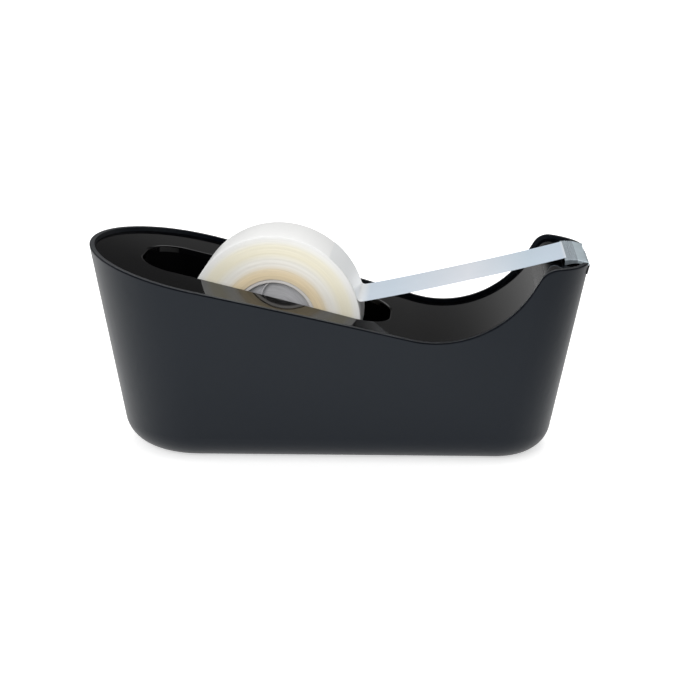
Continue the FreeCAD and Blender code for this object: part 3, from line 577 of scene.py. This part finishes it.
def stripLine():
    # side view of the tape: down the roll's face, a tight bend, the free run and the lap on the cutter
    look = stripLook
    low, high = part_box("tape_strip")
    half = look["thick"] * mm / 2
    lapTall = high[2] - look["solidThick"] * mm + look["lapRise"] * mm + half
    landing = Vector((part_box("cutter_blade")[0][0] + look["lapFrom"] * mm, 0, lapTall))
    lap = landing + Vector((look["lap"] * mm, 0, 0))
    radius = (rollLook["outside"] + look["cling"]) * mm + half
    small = look["bend"] * mm
    touch = math.asin((low[2] + half + small - rollCentre.z) / (radius + small))
    points = []
    thin = []
    fromAngle = math.radians(look["clingFrom"])
    for step in range(look["clingRows"]):
        share = step / look["clingRows"]
        angle = fromAngle + (touch - fromAngle) * share
        points.append(rollCentre + radius * Vector((math.cos(angle), 0, math.sin(angle))))
        thin.append(look["tipThin"] + (1 - look["tipThin"]) * min(1.0, share * look["tipLength"]))
    pivot = rollCentre + (radius + small) * Vector((math.cos(touch), 0, math.sin(touch)))
    heading = tangentRun(pivot, small, landing)
    start = touch + math.pi
    stop = heading + 1.5 * math.pi
    for step in range(look["bendRows"]):
        angle = start + (stop - start) * step / look["bendRows"]
        points.append(pivot + small * Vector((math.cos(angle), 0, math.sin(angle))))
        thin.append(1.0)
    leave = pivot + small * Vector((math.cos(stop), 0, math.sin(stop)))
    for step in range(look["runRows"] + 1):
        share = step / look["runRows"]
        spot = leave.lerp(landing, share)
        spot.z -= look["sag"] * mm * 4 * share * (1 - share)
        points.append(spot)
        thin.append(1.0)
    for step in range(1, look["lapRows"] + 1):
        points.append(landing.lerp(lap, step / look["lapRows"]))
        thin.append(1.0)
    return points, thin


def makeStrip():
    look = stripLook
    points, thin = stripLine()
    low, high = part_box("tape_strip")
    freeFrom = look["clingRows"] + look["bendRows"]
    freeTo = freeFrom + look["runRows"]
    columns = look["columns"]
    upper = []
    lower = []
    for row, point in enumerate(points):
        before = points[max(row - 1, 0)]
        after = points[min(row + 1, len(points) - 1)]
        run = (after - before).normalized()
        out = Vector((-run.z, 0, run.x))
        share = min(max((row - freeFrom) / (freeTo - freeFrom), 0.0), 1.0)
        free = math.sin(math.pi * share) ** 0.6 if 0 < share < 1 else 0.0
        half = look["thick"] * mm / 2
        for column in range(columns + 1):
            side = -1 + 2 * column / columns
            y = low[1] + (high[1] - low[1]) * column / columns
            curl = -look["curl"] * mm * side * side * free
            wave = look["wave"] * mm * free * noise.noise((point.x * look["waveScale"], side * 0.7, 3.1))
            centre = Vector((point.x, y, point.z)) + out * (curl + wave)
            upper.append(centre + out * half * (2 * thin[row] - 1))
            lower.append(centre - out * half)
    return slab(upper, lower, len(points), columns + 1)


def slab(upper, lower, rows, columns):
    # closed sheet between two grids of points, row by row
    faces = []
    shift = len(upper)
    for row in range(rows - 1):
        for column in range(columns - 1):
            a = row * columns + column
            b = a + 1
            c = b + columns
            d = a + columns
            faces.append((a, b, c, d))
            faces.append((shift + a, shift + d, shift + c, shift + b))
    for row in range(rows - 1):
        for column in (0, columns - 1):
            a = row * columns + column
            d = a + columns
            faces.append((a, d, shift + d, shift + a))
    for column in range(columns - 1):
        for row in (0, rows - 1):
            a = row * columns + column
            faces.append((a, a + 1, shift + a + 1, shift + a))
    return upper + lower, faces


stripVerts, stripFaces = makeStrip()
strip = newPiece("tapeEnd", stripVerts, stripFaces, "axle_carrier", ["tape_strip"])
dress(strip, stripFilm)
print("tape end ready")


# cutter

cutterLook = {
    "thick": 0.45, "bend": 0.42, "underTop": 0.15, "fall": 0.7, "landing": 3.6, "rearRound": 0.2,
    "archAt": 3.3, "archRadius": 7.4, "archRoof": 0.95, "flat": 5.9, "tooth": 0.9, "pitch": 1.4,
    "edgeThick": 0.08, "firstTip": 10.9, "lastTip": -10.1, "ridgeFrom": 0.9, "ridgeTo": 3.35,
    "ridgeTall": 0.14, "ridgePitch": 0.6, "breakPitch": 1.4, "stations": 59, "bendSteps": 5,
    "rearSlope": 0.6, "footGap": 0.02, "thinFrom": 1.2,
}


def cutterTop(reach, y, landing):
    # height of the plate: landing with broken ridges, then a slope down to the teeth
    look = cutterLook
    if reach < look["landing"]:
        tall = landing
        if reach < look["rearRound"]:
            tall -= (look["rearRound"] - reach) * look["rearSlope"]
        if look["ridgeFrom"] < reach < look["ridgeTo"]:
            wave = 0.5 + 0.5 * math.cos(2 * math.pi * (reach - look["ridgeFrom"]) / look["ridgePitch"])
            gap = 0.6 + 0.4 * math.cos(2 * math.pi * y / look["breakPitch"] + 3 * reach)
            tall += look["ridgeTall"] * wave * gap
        return tall
    share = (reach - look["landing"]) / (look["flat"] + look["tooth"] - look["landing"])
    return landing - look["fall"] * share


def cutterSection(reach, low, landing, wide, plateSides):
    # outer and inner line of the bent sheet across the cutter at one reach
    look = cutterLook
    bend = look["bend"]
    reachArch = look["archRadius"] ** 2 - (reach - look["archAt"]) ** 2
    arch = landing - look["archRoof"] - look["archRadius"] + math.sqrt(reachArch) if reachArch > 0 else low
    foot = max(low, arch)
    edgeTall = cutterTop(reach, wide, landing)
    # the flange's end stays below the bend
    foot = min(foot, edgeTall - bend - look["footGap"])
    outer = [(wide, foot)]
    for step in range(look["bendSteps"]):
        angle = math.radians(90 * step / look["bendSteps"])
        outer.append((wide - bend + bend * math.cos(angle), edgeTall - bend + bend * math.sin(angle)))
    outer += [(y, cutterTop(reach, y, landing)) for y in plateSides]
    for step in range(look["bendSteps"]):
        angle = math.radians(90 - 90 * (step + 1) / look["bendSteps"])
        outer.append((-wide + bend - bend * math.cos(angle), edgeTall - bend + bend * math.sin(angle)))
    outer.append((-wide, foot))
    thick = look["thick"]
    if reach > look["flat"] - look["thinFrom"]:
        left = max(0.0, (look["flat"] + look["tooth"] - reach) / (look["thinFrom"] + look["tooth"]))
        thick = look["edgeThick"] + (thick - look["edgeThick"]) * left
    inner = []
    for index, (y, z) in enumerate(outer):
        side = max(-wide + look["thick"], min(wide - look["thick"], y))
        roof = edgeTall - thick if abs(y) > wide - bend else z - thick
        inner.append((side, foot if index in (0, len(outer) - 1) else roof))
    return outer, inner


def makeCutter():
    look = cutterLook
    lowBox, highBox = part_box("cutter_blade")
    origin = lowBox[0]
    wide = highBox[1] / mm
    low = lowBox[2] / mm
    landing = highBox[2] / mm - look["underTop"]
    count = round((look["firstTip"] - look["lastTip"]) / (look["pitch"] / 4))
    plateSides = [look["firstTip"] - look["pitch"] / 4 * index for index in range(count + 1)]
    verts = []
    faces = []
    bands = []
    reaches = [look["flat"] * index / look["stations"] for index in range(look["stations"] + 1)]
    reaches.append(look["flat"] + look["tooth"])
    for number, reach in enumerate(reaches):
        outer, inner = cutterSection(reach, low, landing, wide, plateSides)
        for y, z in outer + inner[::-1]:
            x = reach
            if number == len(reaches) - 1:
                x = look["flat"] + look["tooth"] * toothShare(y)
            verts.append(Vector((origin + x * mm, y * mm, z * mm)))
    ring = len(verts) // len(reaches)
    for row in range(len(reaches) - 1):
        for index in range(ring):
            following = (index + 1) % ring
            a = row * ring
            faces.append((a + index, a + following, a + ring + following, a + ring + index))
            bands.append(1 if index < ring // 2 and reaches[row + 1] <= look["landing"] else 0)
    for base in (0, (len(reaches) - 1) * ring):
        for index in range(ring // 2 - 1):
            other = ring - 1 - index
            faces.append((base + index, base + index + 1, base + other - 1, base + other))
            bands.append(0)
    piece = newPiece("cutterBlade", verts, faces, "dispenser", ["cutter_blade"], 28)
    dress(piece, cutterSteel)
    piece.data.materials.append(landingSteel)
    for polygon, band in zip(piece.data.polygons, bands):
        polygon.material_index = band


def toothShare(y):
    # 1 at a tooth's tip and 0 in the notch beside it
    look = cutterLook
    if y > look["firstTip"] or y < look["lastTip"]:
        return 1.0
    place = (look["firstTip"] - y) / look["pitch"]
    return abs(1 - 2 * (place - math.floor(place)))


makeCutter()
print("cutter ready")


# studio

studio = {
    "azimuth": 4.67, "elevation": 18.14, "distance": 0.41418, "lens": 72.05, "aim": (0.00081, 0, 0.03178),
    "floorSpan": 12.0, "floorLift": 0.54, "ambient": 0.70,
    "floorGloss": [(-0.18, 0.60), (-0.06, 1.0), (0.05, 1.0), (0.16, 0.0)],
    "wallRadius": 0.6, "wallTall": 0.88,
    "wallTones": [(0.0, 0.46), (0.12, 0.33), (0.207, 0.20), (0.24, 0.17), (0.262, 0.08), (0.36, 0.05),
                  (0.42, 0.95), (0.74, 0.95), (0.80, 0.02)],
    "wallFront": 0.1, "wallRight": 0.45,
    "topSoftbox": {
        "spot": (0.0, 0.357, 0.567), "aim": (0, 0, 0.02), "wide": 0.546, "tall": 0.378, "watts": 1.7,
    },
    "frontFill": {"spot": (-0.3, -1.5, 0.9), "aim": (0, 0, 0.03), "wide": 1.2, "tall": 0.9, "watts": 13},
}


def makeCamera():
    turn = math.radians(studio["azimuth"])
    rise = math.radians(studio["elevation"])
    back = Vector((math.sin(turn) * math.cos(rise), -math.cos(turn) * math.cos(rise), math.sin(rise)))
    data = bpy.data.cameras.new("camera")
    data.lens = studio["lens"]
    data.clip_start = 0.01
    data.clip_end = 50
    camera = bpy.data.objects.new("camera", data)
    camera.location = Vector(studio["aim"]) + back * studio["distance"]
    camera.rotation_mode = "QUATERNION"
    camera.rotation_quaternion = (-back).to_track_quat("-Z", "Y")
    bpy.context.scene.collection.objects.link(camera)
    bpy.context.scene.camera = camera


def rayMask(tree, glossShare=None):
    # 1 for the rays that should meet the white background, and a share of it in gloss where one is given
    path = node(tree, "ShaderNodeLightPath")
    first = node(tree, "ShaderNodeMath", operation="MAXIMUM")
    second = node(tree, "ShaderNodeMath", operation="MAXIMUM")
    gloss = path.outputs["Is Glossy Ray"]
    if glossShare:
        part = node(tree, "ShaderNodeMath", operation="MULTIPLY")
        tree.links.new(gloss, part.inputs[0])
        tree.links.new(glossShare, part.inputs[1])
        gloss = part.outputs[0]
    tree.links.new(path.outputs["Is Camera Ray"], first.inputs[0])
    tree.links.new(gloss, first.inputs[1])
    tree.links.new(first.outputs[0], second.inputs[0])
    tree.links.new(path.outputs["Is Transmission Ray"], second.inputs[1])
    return second.outputs[0]


def makeWorld():
    world = bpy.data.worlds.new("studio")
    bpy.context.scene.world = world
    world.use_nodes = True
    tree = world.node_tree
    background = tree.nodes["Background"]
    mix = node(tree, "ShaderNodeMix", data_type="FLOAT")
    mix.inputs[2].default_value = studio["ambient"]
    mix.inputs[3].default_value = 1.0
    tree.links.new(rayMask(tree), mix.inputs[0])
    tree.links.new(mix.outputs[0], background.inputs["Strength"])
    background.inputs["Color"].default_value = (1, 1, 1, 1)


def makeFloor():
    half = studio["floorSpan"] / 2
    mesh = bpy.data.meshes.new("floor")
    corners = [(-half, -half, 0), (half, -half, 0), (half, half, 0), (-half, half, 0)]
    mesh.from_pydata(corners, [], [(0, 1, 2, 3)])
    floor = bpy.data.objects.new("floor", mesh)
    bpy.context.scene.collection.objects.link(floor)
    material, tree, shader = newMaterial("floorPaper", Base_Color=(0.86, 0.86, 0.86, 1), Roughness=0.9)
    shader.inputs["Specular IOR Level"].default_value = 0.0
    shader.inputs["Emission Color"].default_value = (1, 1, 1, 1)
    lift = node(tree, "ShaderNodeMath", operation="MULTIPLY")
    lift.inputs[1].default_value = studio["floorLift"]
    coord = node(tree, "ShaderNodeTexCoord")
    split = node(tree, "ShaderNodeSeparateXYZ")
    tree.links.new(coord.outputs["Object"], split.inputs[0])
    tones = [(x, (tone, tone, tone)) for x, tone in studio["floorGloss"]]
    share = bandRamp(tree, split.outputs["X"], tones[0][0], tones[-1][0], tones)
    tree.links.new(rayMask(tree, share), lift.inputs[0])
    tree.links.new(lift.outputs[0], shader.inputs["Emission Strength"])
    dress(floor, material)


def makeWall():
    # dim studio wall all round with a dark ceiling, seen only in gloss
    count = 64
    verts = []
    faces = []
    for index in range(count):
        angle = 2 * math.pi * index / count
        east = studio["wallRadius"] * math.cos(angle)
        north = studio["wallRadius"] * math.sin(angle)
        for tall in (0, studio["wallTall"]):
            verts.append((east, north, tall))
        after = (index + 1) % count
        faces.append((2 * index, 2 * after, 2 * after + 1, 2 * index + 1))
    faces.append(tuple(2 * index + 1 for index in range(count)))
    mesh = bpy.data.meshes.new("studioWall")
    mesh.from_pydata(verts, [], faces)
    wall = bpy.data.objects.new("studioWall", mesh)
    bpy.context.scene.collection.objects.link(wall)
    wall.visible_camera = False
    wall.visible_diffuse = False
    wall.visible_shadow = False
    wall.visible_transmission = False
    material = bpy.data.materials.new("studioWall")
    material.use_nodes = True
    tree = material.node_tree
    tree.nodes.clear()
    out = node(tree, "ShaderNodeOutputMaterial")
    glow = node(tree, "ShaderNodeEmission")
    coord = node(tree, "ShaderNodeTexCoord")
    split = node(tree, "ShaderNodeSeparateXYZ")
    tree.links.new(coord.outputs["Object"], split.inputs[0])
    tones = bandRamp(tree, split.outputs["Z"], 0.0, studio["wallTall"],
                     [(tall, (tone, tone, tone)) for tall, tone in studio["wallTones"]])
    half = studio["wallRadius"]
    strength = tones
    for axis, low, high in (("Y", studio["wallFront"], 1.0), ("X", 1.0, studio["wallRight"])):
        side = node(tree, "ShaderNodeMapRange")
        side.inputs["From Min"].default_value = -0.5 * half
        side.inputs["From Max"].default_value = 0.5 * half
        side.inputs["To Min"].default_value = low
        side.inputs["To Max"].default_value = high
        tree.links.new(split.outputs[axis], side.inputs["Value"])
        product = node(tree, "ShaderNodeMath", operation="MULTIPLY")
        tree.links.new(strength, product.inputs[0])
        tree.links.new(side.outputs[0], product.inputs[1])
        strength = product.outputs[0]
    tree.links.new(strength, glow.inputs["Strength"])
    tree.links.new(glow.outputs[0], out.inputs["Surface"])
    dress(wall, material)


def makeLamp(name, inGloss):
    look = studio[name]
    data = bpy.data.lights.new(name, "AREA")
    data.shape = "RECTANGLE"
    data.size = look["wide"]
    data.size_y = look["tall"]
    data.energy = look["watts"]
    lamp = bpy.data.objects.new(name, data)
    lamp.location = look["spot"]
    lamp.rotation_mode = "QUATERNION"
    lamp.rotation_quaternion = (Vector(look["aim"]) - Vector(look["spot"])).to_track_quat("-Z", "Y")
    lamp.visible_glossy = inGloss
    bpy.context.scene.collection.objects.link(lamp)


makeCamera()
makeWorld()
makeFloor()
makeWall()
makeLamp("topSoftbox", True)
makeLamp("frontFill", False)
bpy.context.scene.view_settings.view_transform = "Standard"
print("studio ready")
